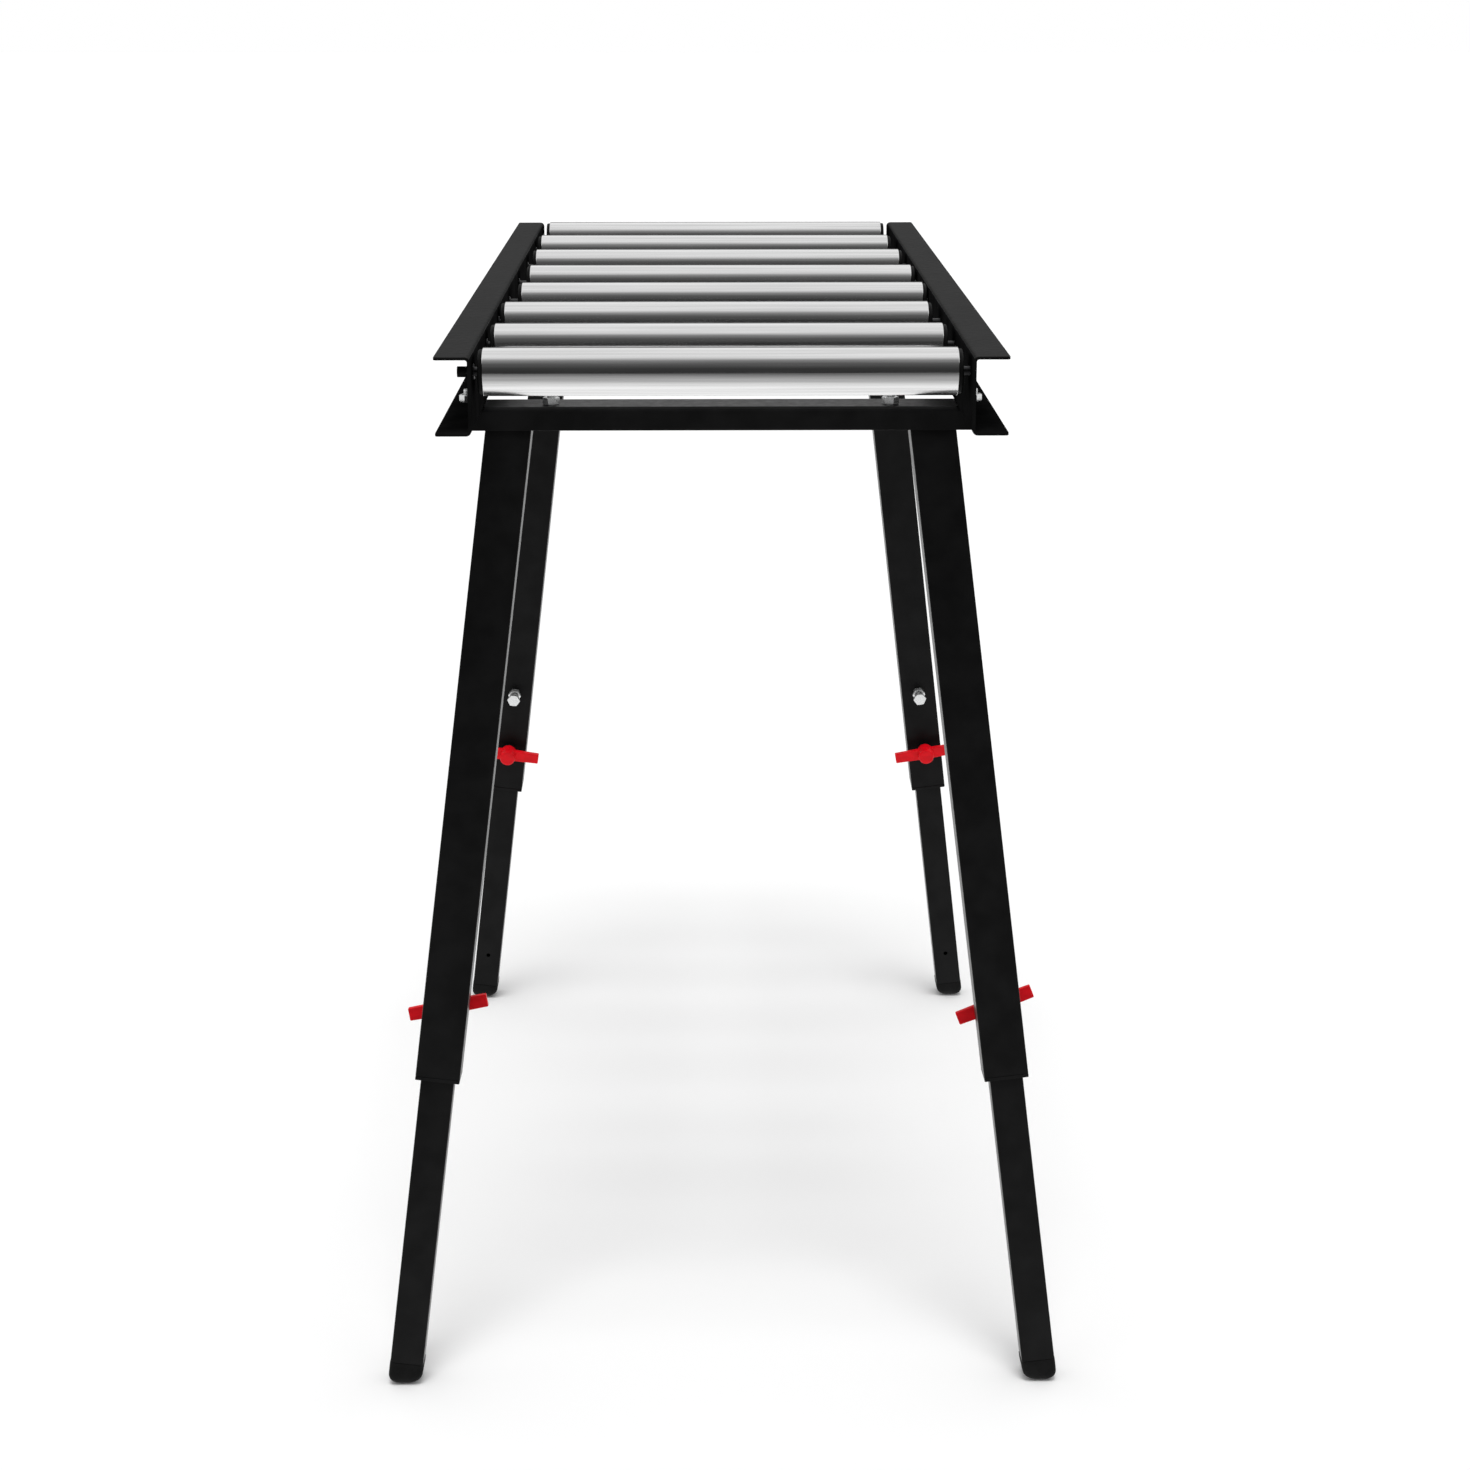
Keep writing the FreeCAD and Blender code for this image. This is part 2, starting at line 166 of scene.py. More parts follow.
class ConveyorSizes(bpy.types.PropertyGroup):
    """Sizes of the detail on the construction."""
    sheet: length("Sheet", "Thickness of the rails' and cross-members' sheet", 2.5)
    bend: length("Bend", "Inside radius of the sheet's bends", 2.0)
    edge: length("Edge", "Rounding of cut sheet and tube edges under the coat", 0.4)
    flange_corner: length("Flange corner", "Rounding of the rails' free corners", 3.0)
    tube_wall: length("Tube wall", "Wall of the legs' tubes", 2.0)
    tube_corner: length("Tube corner", "Corner radius of the legs' tubes", 1.5)
    sleeve_lip: length("Sleeve lip", "Lip of the sleeve at the upper tubes' lower ends", 3.2)
    sleeve_seam: length("Sleeve seam", "Depth of the seam above that lip", 0.5)
    foot_hole: length("Foot hole", "Hole in the lower tube above the foot", 5.0)
    foot_hole_height: length("Foot hole height", "Height of that hole along the leg", 62.0)
    roller_wall: length("Roller wall", "Wall of the roller tubes", 1.5)
    roller_lip: length("Roller lip", "Rounding of the roller tubes' rims", 1.0)
    cap_rim: length("Cap rim", "Rounding of the end caps' rims", 1.5)
    cap_mouth: length("Cap mouth", "Opening of the end caps round the axle", 14.0)
    cap_lip: length("Cap lip", "Thickness of the end caps over the bearings", 2.45)
    bearing: length("Bearing seat", "Bore of the end caps for the bearings", 22.1)
    axle: length("Axle", "Diameter of the axles", 8.0)
    axle_hole: length("Axle hole", "Holes for the axles in the rails", 8.3)
    axle_cap: length("Axle cap", "Diameter of the axles' push-on caps", 9.0)
    axle_cap_nose: length("Axle cap nose", "How far the caps' closed ends stand past the axles", 3.1)
    bolt: length("Bolt", "Outside diameter of the threads", 8.0)
    bolt_hole: length("Bolt hole", "Clearance holes for the bolts", 9.0)
    thread_pitch: length("Thread pitch", "Rise of the threads in one turn", 1.25)
    thread_depth: length("Thread depth", "Depth of the threads", 0.68)
    thread_run: length("Thread run", "Length of thread on a bolt", 16.0)
    across_flats: length("Across flats", "Hex size of nuts and bolt heads", 13.0)
    head_height: length("Head height", "Height of the bolt heads", 5.3)
    foot_dome: length("Foot dome", "Height of the feet's rounded lower rims", 12.5)
    sole_inset: length("Sole inset", "How far the feet's soles are set in by that rounding", 9.0)
    foot_corner: length("Foot corner", "Corner radius of the feet", 4.5)
    foot_stem: length("Foot stem", "Width of the feet's plug inside the tube", 25.9)
    knob_rim: length("Knob rim", "Rounding of the knobs' hubs", 2.0)
    knob_bore: length("Knob bore", "Depth of the screw's seat in the hub", 15.0)
    wing_corner: length("Wing corner", "Rounding along the knobs' wings", 0.9)
    wing_flare: length("Wing flare", "Thickening of the wings at the hub", 0.2)
    round_steps: IntProperty(name="Round steps", description="Faces round a roller", default=128, min=24)


def colour(name, description, value):
    return FloatVectorProperty(name=name, description=description, subtype="COLOR", default=value)


class ConveyorColours(bpy.types.PropertyGroup):
    """Base colours of the finishes."""
    coat: colour("Powder coat", "Black of rails and legs", (0.0073, 0.0073, 0.0074))
    zinc: colour("Roller zinc", "Bright plate on the rollers", (0.80, 0.80, 0.80))
    plate: colour("Fastener zinc", "Bright plate on the nuts and bolts", (0.80, 0.81, 0.81))
    red: colour("Knob red", "Red of the clamp knobs", (0.74, 0.003, 0.010))
    plastic: colour("Black plastic", "Black of the caps", (0.006, 0.006, 0.006))
    rubber: colour("Foot rubber", "Black of the feet", (0.0065, 0.0065, 0.0065))
    axle: colour("Axle steel", "Oiled steel of the axles", (0.06, 0.06, 0.062))
    bearing: colour("Bearing steel", "Ground steel of the bearing rings", (0.16, 0.16, 0.165))


def angle(name, description, degrees):
    return FloatProperty(
        name=name, description=description, default=math.radians(degrees), subtype="ANGLE")


class ConveyorStage(bpy.types.PropertyGroup):
    """Camera, floor and light."""
    camera_place: FloatVectorProperty(
        name="Camera", description="Where the camera stands", subtype="TRANSLATION",
        default=(-0.0156, -2.7795, 1.2832))
    camera_down: angle("Camera pitch", "How far the camera looks down", 14.51)
    camera_right: angle("Camera turn", "How far the camera turns to the right", 0.67)
    lens: FloatProperty(name="Lens", description="Focal length in millimetres", default=67.69)
    shift: FloatProperty(name="Lens shift", description="Downward shift of the view", default=-0.055)
    floor_size: length("Floor", "Side of the floor", 60000.0)
    key_strength: FloatProperty(name="Key light", description="Strength of the key light", default=1.35)
    key_tilt: angle("Key tilt", "How far the key light leans to the front", 18)
    key_softness: angle("Key softness", "Apparent size of the key light", 22)
    fill_strength: FloatProperty(name="Fill light", description="Strength of the fill light", default=1.0)
    fill_tilt: angle("Fill tilt", "How far the fill light leans to the front", 62)
    fill_softness: angle("Fill softness", "Apparent size of the fill light", 110)


def sizes():
    return bpy.context.scene.conveyor_sizes


def colours():
    return bpy.context.scene.conveyor_colours


# Shader nodes

def connect(tree, value, socket):
    """Put a constant or another node's output on a socket."""
    if isinstance(value, bpy.types.NodeSocket):
        tree.links.new(value, socket)
    else:
        socket.default_value = value


def fill(tree, node, **values):
    """Connect a node's sockets, by socket name with _ for a space."""
    for key, value in values.items():
        connect(tree, value, node.inputs[key.replace("_", " ")])


def add_node(tree, kind, **values):
    """New node with its sockets filled."""
    node = tree.nodes.new(kind)
    fill(tree, node, **values)
    return node


def add_math(tree, operation, first, second=0.0):
    node = tree.nodes.new("ShaderNodeMath")
    node.operation = operation
    connect(tree, first, node.inputs[0])
    connect(tree, second, node.inputs[1])
    return node.outputs["Value"]


def add_mix(tree, factor, first, second):
    """Colour that goes from first to second with the factor."""
    node = tree.nodes.new("ShaderNodeMix")
    node.data_type = "RGBA"
    fill(tree, node, Factor=factor, A=first, B=second)
    return node.outputs["Result"]


def add_split(tree, vector, axis):
    """One coordinate of a vector."""
    return add_node(tree, "ShaderNodeSeparateXYZ", Vector=vector).outputs[axis]


def add_ramp(tree, factor, stops):
    """Colour that runs with the factor through (position, colour) stops."""
    ramp = add_node(tree, "ShaderNodeValToRGB", Fac=factor)
    elements = ramp.color_ramp.elements
    elements[0].position = stops[0][0]
    elements[1].position = stops[-1][0]
    for stop in stops[1:-1]:
        elements.new(stop[0])
    for element, stop in zip(elements, stops):
        element.color = (*stop[1], 1)
    return ramp.outputs["Color"]


def greys(stops):
    """Colour stops from (position, level) stops."""
    return [(position, (level, level, level)) for position, level in stops]


# Procedural finishes

class Finish:
    """A node material: one principled shader with helpers for the textures that drive it."""

    def __init__(self, name):
        self.material = bpy.data.materials.new(name)
        self.material.use_nodes = True
        self.tree = self.material.node_tree
        self.shader = self.tree.nodes["Principled BSDF"]
        self.place = self.tree.nodes.new("ShaderNodeTexCoord").outputs["Object"]

    def set(self, **values):
        """Constants or other nodes' outputs on the shader's own sockets."""
        fill(self.tree, self.shader, **values)

    def noise(self, scale=1.0, detail=3, stretch=(1, 1, 1)):
        """Noise in the object's own metres, stretched by a factor along each axis."""
        scales = [scale * value for value in stretch]
        mapping = add_node(self.tree, "ShaderNodeMapping", Vector=self.place, Scale=scales)
        place = mapping.outputs["Vector"]
        noise = add_node(self.tree, "ShaderNodeTexNoise", Vector=place, Scale=1.0, Detail=detail)
        return noise.outputs["Fac"]

    def spread(self, factor, low, high, start, end):
        """Value that goes from low to high as the factor goes from start to end."""
        spread = add_node(
            self.tree, "ShaderNodeMapRange", Value=factor,
            From_Min=start, From_Max=end, To_Min=low, To_Max=high)
        return spread.outputs["Result"]

    def colour(self, factor, base, change):
        """Base colour that varies by the share given as change."""
        dark = [value * (1 - change) for value in base]
        light = [min(1.0, value * (1 + change)) for value in base]
        stops = list(zip(COLOUR_SPAN, (dark, light)))
        self.set(Base_Color=add_ramp(self.tree, factor, stops))

    def roughness(self, factor, low, high):
        self.set(Roughness=self.spread(factor, low, high, *ROUGHNESS_SPAN))

    def bump(self, height, depth, strength):
        """Surface relief of that depth in metres."""
        bump = add_node(self.tree, "ShaderNodeBump", Height=height, Distance=depth, Strength=strength)
        self.set(Normal=bump.outputs["Normal"])


def powder_coat(finish):
    """Satin black powder coat with a fine orange-peel skin."""
    finish.set(Specular_IOR_Level=COAT_GLOSS)
    finish.colour(finish.noise(scale=38, detail=4), colours().coat, change=0.22)
    finish.roughness(finish.noise(scale=160), low=0.28, high=0.36)
    finish.bump(finish.noise(scale=1100, detail=2), depth=0.06 * MM, strength=0.35)


def rail_coat_painted_shade(finish):
    """Powder coat of the rails with painted shade: no reflection on either face of the web, only on the
    flanges.
    """
    powder_coat(finish)
    low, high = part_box("left_rail")
    half = (high.z - low.z) / 2
    height = add_split(finish.tree, finish.place, "Z")
    above_middle = add_math(finish.tree, "SUBTRACT", height, (low.z + high.z) / 2)
    from_middle = add_math(finish.tree, "ABSOLUTE", above_middle)
    # Painted shade: the gloss falls to nothing away from the flanges, so the web is darkened by its
    # height alone
    gloss = finish.spread(from_middle, WEB_PAINTED_SHADE_GLOSS, COAT_GLOSS, half - sizes().bend, half)
    finish.set(Specular_IOR_Level=gloss)


def roller_zinc(finish):
    """Bright zinc plate on drawn tube: faint lines along the roller."""
    finish.set(Metallic=1.0)
    finish.colour(finish.noise(detail=4, stretch=(5, 420, 420)), colours().zinc, change=0.08)
    finish.roughness(finish.noise(stretch=(9, 240, 240)), low=0.10, high=0.20)
    finish.bump(finish.noise(detail=5, stretch=(8, 300, 300)), depth=0.05 * MM, strength=0.6)


def fastener_zinc(finish):
    """Zinc plate on hex fasteners, slightly clouded."""
    finish.set(Metallic=0.85)
    cloud = finish.noise(scale=420)
    finish.colour(cloud, colours().plate, change=0.07)
    finish.roughness(cloud, low=0.24, high=0.36)
    finish.bump(finish.noise(scale=2600, detail=2), depth=0.02 * MM, strength=0.25)


def bearing_steel(finish):
    """Ground steel of the bearing rings."""
    finish.set(Metallic=1.0)
    turning = finish.noise(detail=2, stretch=(900, 60, 60))
    finish.colour(turning, colours().bearing, change=0.06)
    finish.roughness(turning, low=0.20, high=0.32)


def axle_steel(finish):
    """Drawn bar with a thin dark film of oil."""
    finish.set(Metallic=1.0)
    drawn = finish.noise(stretch=(12, 700, 700))
    finish.colour(drawn, colours().axle, change=0.2)
    finish.roughness(drawn, low=0.3, high=0.45)


def black_plastic(finish):
    """Moulded black plastic with a fine spark grain."""
    finish.set(Specular_IOR_Level=0.10)
    finish.colour(finish.noise(scale=90), colours().plastic, change=0.2)
    finish.roughness(finish.noise(scale=700, detail=2), low=0.42, high=0.58)
    finish.bump(finish.noise(scale=2400, detail=2), depth=0.03 * MM, strength=0.3)


def red_plastic(finish):
    """Moulded red plastic, half gloss, with faint flow marks."""
    finish.set(Specular_IOR_Level=0.16)
    finish.colour(finish.noise(scale=70, stretch=(1, 1, 2.5)), colours().red, change=0.10)
    finish.roughness(finish.noise(scale=500), low=0.34, high=0.48)
    finish.bump(finish.noise(scale=1500, detail=2), depth=0.04 * MM, strength=0.25)


def foot_rubber(finish):
    """Matt moulded rubber."""
    finish.set(Specular_IOR_Level=0.10)
    finish.colour(finish.noise(scale=60, detail=4), colours().rubber, change=0.25)
    finish.roughness(finish.noise(scale=400), low=0.62, high=0.78)
    finish.bump(finish.noise(scale=1300), depth=0.06 * MM, strength=0.4)


FINISHES = {
    "black_powder_coat": powder_coat,
    "rail_coat_painted_shade": rail_coat_painted_shade,
    "zinc_roller": roller_zinc,
    "zinc_fastener": fastener_zinc,
    "bearing_steel": bearing_steel,
    "axle_steel": axle_steel,
    "black_plastic": black_plastic,
    "red_plastic": red_plastic,
    "foot_rubber": foot_rubber,
}


def finish_of(kind):
    """The material of a finish, made on its first use."""
    name = f"{kind}_finish"
    material = bpy.data.materials.get(name)
    if material is None:
        finish = Finish(name)
        FINISHES[kind](finish)
        material = finish.material
    return material


# Places taken from the construction

class Axes:
    """A piece's own frame: an origin and directions u, v and w, with w along its axis."""

    def __init__(self, origin, u, v):
        self.origin = Vector(origin)
        self.u = Vector(u).normalized()
        self.v = Vector(v).normalized()
        self.w = self.u.cross(self.v)

    def at(self, u, v, w):
        return self.origin + self.u * u + self.v * v + self.w * w

    def local(self, point):
        away = point - self.origin
        return Vector((away.dot(self.u), away.dot(self.v), away.dot(self.w)))

    def moved(self, w):
        return Axes(self.at(0, 0, w), self.u, self.v)

    def turned(self, angle):
        """The same axes turned about w."""
        u = self.u * math.cos(angle) + self.v * math.sin(angle)
        return Axes(self.origin, u, self.w.cross(u))

    def ring(self, steps, shape):
        """Ring about w; shape gives the radius and the place along w at an angle."""
        points = []
        for step in range(steps):
            angle = math.tau * step / steps
            radius, along = shape(angle)
            points.append(self.at(radius * math.cos(angle), radius * math.sin(angle), along))
        return points

    def circle(self, steps, along, radius):
        return self.ring(steps, lambda angle: (radius, along))


def cross_axes(x, place):
    """Axes at x on the line across the conveyor through a place."""
    return Axes((x, place.y, place.z), Y, Z)


def upright_axes(place, z):
    """Axes at z on the upright line through a place."""
    return Axes((place.x, place.y, z), X, Y)


def leg_axes(name):
    """Axes of a leg: u across it, v towards the conveyor's middle, w down its centre line."""
    low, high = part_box(f"lower_leg_{name}")
    down = Vector(JOINTS[f"leg_slide_{name}"]["axis"])
    inward = Vector(JOINTS[f"clamp_turn_{name}"]["axis"])
    return Axes((low + high) / 2, inward.cross(down), inward)


def inward_axes(origin, leg):
    """Axes with w square to a leg's inner face, towards the conveyor's middle."""
    return Axes(origin, leg.u, -leg.w)


def outward_axes(origin, leg):
    """Axes with w square to a leg's inner face, into the leg."""
    return Axes(origin, leg.u, leg.w)


def extent(points, axes):
    """Lowest and highest place of the points along each of the axes."""
    local = [axes.local(point) for point in points]
    low = Vector(min(place[i] for place in local) for i in range(3))
    high = Vector(max(place[i] for place in local) for i in range(3))
    return low, high


def box_of(points):
    """Lowest and highest corner of the points' box."""
    return extent(points, Axes((0, 0, 0), X, Y))


def middle(points):
    """Centre of the points' box."""
    low, high = box_of(points)
    return (low + high) / 2


def points_of(node):
    return [vertex.co.copy() for vertex in frame["nodes"][node].data.vertices]


def solids_of(node):
    """The points of each separate solid of a group node."""
    work = bmesh.new()
    work.from_mesh(frame["nodes"][node].data)
    bmesh.ops.remove_doubles(work, verts=work.verts, dist=SAME_PLACE)
    found = set()
    solids = []
    for first in work.verts:
        if first in found:
            continue
        found.add(first)
        to_visit = [first]
        points = []
        while to_visit:
            vertex = to_visit.pop()
            points.append(vertex.co.copy())
            for edge in vertex.link_edges:
                other = edge.other_vert(vertex)
                if other not in found:
                    found.add(other)
                    to_visit.append(other)
        solids.append(points)
    work.free()
    return solids


def solid_near(node, place):
    """The solid of a group node that is closest to a place."""
    return min(solids_of(node), key=lambda points: (middle(points) - place).length)


# Outlines and meshes

def rounded(corners):
    """Closed outline through (x, y, radius) corners, with its round corners as arcs."""
    outline = []
    for index, (x, y, radius) in enumerate(corners):
        corner = Vector((x, y))
        back = (Vector(corners[index - 1][:2]) - corner).normalized()
        ahead = (Vector(corners[(index + 1) % len(corners)][:2]) - corner).normalized()
        half = back.angle(ahead) / 2
        reach = radius / math.tan(half)
        centre = corner + (back + ahead).normalized() * (radius / math.sin(half))
        first = corner + back * reach - centre
        last = corner + ahead * reach - centre
        start = math.atan2(first.y, first.x)
        turn = (math.atan2(last.y, last.x) - start + math.pi) % math.tau - math.pi
        for step in range(BEND_STEPS + 1):
            angle = start + turn * step / BEND_STEPS
            outline.append(centre + Vector((math.cos(angle), math.sin(angle))) * radius)
    return outline


def rounded_box(half, low, high, radius):
    """Rounded rectangle from -half to half and from low to high."""
    corners = ((half, high), (-half, high), (-half, low), (half, low))
    return rounded([(x, y, radius) for x, y in corners])


def rounded_square(half, radius):
    return rounded_box(half, -half, half, radius)


def inset(outline, distance):
    """Closed outline moved inwards by a small distance."""
    count = len(outline)
    area = sum(outline[i - 1].x * outline[i].y - outline[i].x * outline[i - 1].y for i in range(count))
    side = math.copysign(1, area)
    moved = []
    for index, point in enumerate(outline):
        along = outline[(index + 1) % count] - outline[index - 1]
        normal = Vector((-along.y, along.x)).normalized() * side
        moved.append(point + normal * distance)
    return moved


def quarter(steps=EDGE_STEPS):
    """Sine and cosine pairs of a quarter turn."""
    turns = [math.pi / 2 * step / steps for step in range(steps + 1)]
    return [(math.sin(turn), math.cos(turn)) for turn in turns]


def round_rim(radius, rim, steps=RIM_STEPS):
    """Rounded rim of a round piece, as (depth below its flat end, radius) points from end to side."""
    return [(rim * (1 - cosine), radius - rim * (1 - sine)) for sine, cosine in quarter(steps)]


class Shell:
    """Points and faces of a piece while it is built."""

    def __init__(self):
        self.points = []
        self.faces = []

    def ring(self, points):
        start = len(self.points)
        self.points.extend(points)
        return list(range(start, len(self.points)))

    def bridge(self, first, second):
        """Quads between two rings of the same count."""
        for index in range(len(first)):
            back = index - 1
            self.faces.append((first[back], first[index], second[index], second[back]))

    def loft(self, rings, looped=False):
        """Skin over rings in order, closed by a face at each end or back to the first ring."""
        numbers = [self.ring(points) for points in rings]
        for first, second in zip(numbers, numbers[1:]):
            self.bridge(first, second)
        if looped:
            self.bridge(numbers[-1], numbers[0])
        else:
            self.faces.append(tuple(reversed(numbers[0])))
            self.faces.append(tuple(numbers[-1]))
        return self

    def lathe(self, axes, profile, steps, looped=False):
        """Round piece from (along, radius) points."""
        return self.loft([axes.circle(steps, along, radius) for along, radius in profile], looped)

    def mesh(self, name):
        mesh = bpy.data.meshes.new(name)
        mesh.from_pydata([tuple(point) for point in self.points], [], self.faces)
        work = bmesh.new()
        work.from_mesh(mesh)
        bmesh.ops.recalc_face_normals(work, faces=work.faces)
        work.to_mesh(mesh)
        work.free()
        return mesh


def new_object(name, shell):
    piece = bpy.data.objects.new(name, shell.mesh(name))
    bpy.context.scene.collection.objects.link(piece)
    return piece


def combine(piece, shell, operation):
    """Cut a shell out of a piece, or join it on."""
    tool = new_object("tool", shell)
    modifier = piece.modifiers.new("combine", "BOOLEAN")
    modifier.operation = operation
    modifier.solver = "EXACT"
    modifier.use_self = operation == "UNION"
    modifier.object = tool
    evaluated = piece.evaluated_get(bpy.context.evaluated_depsgraph_get())
    result = bpy.data.meshes.new_from_object(evaluated)
    used = (piece.data, tool.data)
    piece.modifiers.clear()
    piece.data = result
    bpy.data.objects.remove(tool)
    for mesh in used:
        bpy.data.meshes.remove(mesh)


def drill(piece, holes):
    """Cut round holes into a piece, each (axes, diameter, start, end)."""
    shell = Shell()
    for axes, diameter, start, end in holes:
        shell.lathe(axes, [(start, diameter / 2), (end, diameter / 2)], HOLE_STEPS)
    combine(piece, shell, "DIFFERENCE")


def finish_piece(piece, body, slot, *nodes, kind=None):
    """Smooth a piece, give it its slot's finish or another kind, and set it in place of its nodes."""
    mesh = piece.data
    mesh.shade_smooth()
    mesh.set_sharp_from_angle(angle=SHARP_ANGLE)
    normals = piece.modifiers.new("flat faces", "WEIGHTED_NORMAL")
    normals.keep_sharp = True
    mesh.materials.clear()
    mesh.materials.append(finish_of(kind or slot))
    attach(piece, body)
    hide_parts(*nodes)


def add_piece(name, shell, body, slot, *nodes, kind=None):
    finish_piece(new_object(name, shell), body, slot, *nodes, kind=kind)


# Rails and cross-members

def channel(tip, web, low, high):
    """Channel section from low to high, with its back at web and its flanges' edges at tip."""
    size = sizes()
    sheet = size.sheet
    edge = size.edge
    inside = web + math.copysign(sheet, tip - web)
    outside_bend = size.bend + sheet
    return rounded([
        (tip, high, edge),
        (web, high, outside_bend),
        (web, low, outside_bend),
        (tip, low, edge),
        (tip, low + sheet, edge),
        (inside, low + sheet, size.bend),
        (inside, high - sheet, size.bend),
        (tip, high - sheet, edge),
    ])


def bolt_holes(low, high, z):
    """Holes through the sheet at z for the frame bolts inside a piece's box."""
    size = sizes()
    holes = []
    for points in solids_of("frame_bolts"):
        place = middle(points)
        if low.x < place.x < high.x and low.y < place.y < high.y:
            holes.append((upright_axes(place, z), size.bolt_hole, -2 * size.sheet, 2 * size.sheet))
    return holes


def make_rail(name):
    """Rail with rounded free corners, drilled for its axles and bolts."""
    size = sizes()
    low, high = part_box(name)
    web, tip = sorted((low.x, high.x), key=abs)
    out = math.copysign(1, tip)
    corner = size.flange_corner

    def section(cut):
        return channel(tip - out * cut, web, low.z, high.z)

    stations = [(inset(section(corner), size.edge), 0)]
    for sine, cosine in quarter(BEND_STEPS):
        stations.append((section(corner * (1 - sine)), max(size.edge, corner * (1 - cosine))))
    places = [(outline, low.y + along) for outline, along in stations]
    places += [(outline, high.y - along) for outline, along in reversed(stations)]
    rings = [[Vector((x, y, z)) for x, z in outline] for outline, y in places]
    rail = new_object(f"{name}_channel", Shell().loft(rings))

    holes = bolt_holes(low, high, low.z)
    for points in solids_of("roller_axles"):
        through_web = cross_axes(web, middle(points))
        holes.append((through_web, size.axle_hole, -2 * size.sheet, 2 * size.sheet))
    drill(rail, holes)
    finish_piece(rail, "frame", "black_powder_coat", name, kind="rail_coat_painted_shade")


def make_cross_member(name):
    """Inverted channel across the rails, drilled for its bolts."""
    size = sizes()
    low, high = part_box(name)
    section = channel(low.z, high.z, low.y, high.y)
    drawn_in = inset(section, size.edge)
    stations = [
        (drawn_in, low.x),
        (section, low.x + size.edge),
        (section, high.x - size.edge),
        (drawn_in, high.x),
    ]
    rings = [[Vector((x, y, z)) for z, y in outline] for outline, x in stations]
    member = new_object(f"{name}_channel", Shell().loft(rings))
    drill(member, bolt_holes(low, high, high.z))
    finish_piece(member, "frame", "black_powder_coat", name)


class CONVEYOR_OT_rails(bpy.types.Operator):
    """Bend the two rails and the two cross-members"""
    bl_idname = "conveyor.rails"
    bl_label = "Make Rails and Cross-Members"

    def execute(self, context):
        make_rail("left_rail")
        make_rail("right_rail")
        make_cross_member("front_cross_member")
        make_cross_member("rear_cross_member")
        return {"FINISHED"}


# Rollers

def make_roller_tube(number):
    """Steel tube with rolled rims and a bore."""
    size = sizes()
    node = f"roller_tube_{number}"
    low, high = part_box(node)
    radius = (high.z - low.z) / 2
    bore = radius - size.roller_wall
    rim = round_rim(radius, size.roller_lip)
    profile = [(low.x + depth, ring) for depth, ring in rim]
    profile += [(high.x - depth, ring) for depth, ring in reversed(rim)]
    profile += [(high.x, bore), (low.x, bore)]
    axes = cross_axes(0, (low + high) / 2)
    shell = Shell().lathe(axes, profile, size.round_steps, looped=True)
    add_piece(f"roller_{number}_shell", shell, f"roller_{number}", "zinc_roller", node)


def cap_profile(radius, depth):
    """End cap as (depth below its face, radius) points: groove, rim, plug and bearing seat."""
    size = sizes()
    mouth = size.cap_mouth / 2
    seat = size.bearing / 2
    sink = GROOVE_DEPTH * size.cap_rim
    inner, outer = [mouth + share * (radius - mouth) for share in GROOVE_SPAN]
    profile = [(sink, mouth), (0, mouth + sink)]
    profile += [(0, inner), (sink, inner + sink), (sink, outer - sink), (0, outer)]
    profile += round_rim(radius, size.cap_rim)
    profile += [(depth, radius), (depth, seat), (size.cap_lip, seat), (size.cap_lip, mouth)]
    return profile


def make_end_caps(number):
    """Moulded caps with a rounded rim, a shallow groove and the bearing's seat."""
    node = f"roller_end_caps_{number}"
    shell = Shell()
    for points in solids_of(node):
        low, high = box_of(points)
        place = middle(points)
        out = math.copysign(1, place.x)
        face = high.x if out > 0 else low.x
        profile = cap_profile((high.z - low.z) / 2, high.x - low.x)
        from_face = [(-out * depth, ring) for depth, ring in profile]
        shell.lathe(cross_axes(face, place), from_face, sizes().round_steps, looped=True)
    add_piece(f"roller_{number}_caps", shell, f"roller_{number}", "black_plastic", node)


class CONVEYOR_OT_rollers(bpy.types.Operator):
    """Turn the roller tubes and their end caps"""
    bl_idname = "conveyor.rollers"
    bl_label = "Make Rollers"

    def execute(self, context):
        for number in ROLLERS:
            make_roller_tube(number)
            make_end_caps(number)
        return {"FINISHED"}


# Axles

def make_axles():
    """Round bars with broken edges."""
    size = sizes()
    edge = size.edge
    radius = size.axle / 2
    shell = Shell()
    for points in solids_of("roller_axles"):
        low, high = box_of(points)
        profile = [
            (low.x, radius - edge),
            (low.x + edge, radius),
            (high.x - edge, radius),
            (high.x, radius - edge),
        ]
        shell.lathe(cross_axes(0, middle(points)), profile, HOLE_STEPS)
    add_piece("axle_bars", shell, "frame", "axle_steel", "roller_axles")


def make_axle_caps():
    """Slim push-on caps with rounded ends."""
    size = sizes()
    radius = size.axle_cap / 2
    bore = size.axle / 2 + CLEARANCE
    axle_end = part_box("roller_axles")[0].x
    nose = axle_end - size.axle_cap_nose
    nose_rim = [(nose + depth, ring) for depth, ring in round_rim(radius, size.edge, EDGE_STEPS)]
    shell = Shell()
    for points in solids_of("axle_caps"):
        mouth = box_of(points)[1].x
        profile = [(axle_end - CLEARANCE, bore), (mouth, bore), (mouth, radius), *reversed(nose_rim)]
        shell.lathe(cross_axes(0, middle(points)), profile, HOLE_STEPS)
    add_piece("axle_end_caps", shell, "frame", "black_plastic", "axle_caps")


class CONVEYOR_OT_axles(bpy.types.Operator):
    """Turn the axles and their push-on caps"""
    bl_idname = "conveyor.axles"
    bl_label = "Make Axles"

    def execute(self, context):
        make_axles()
        make_axle_caps()
        return {"FINISHED"}


# Legs

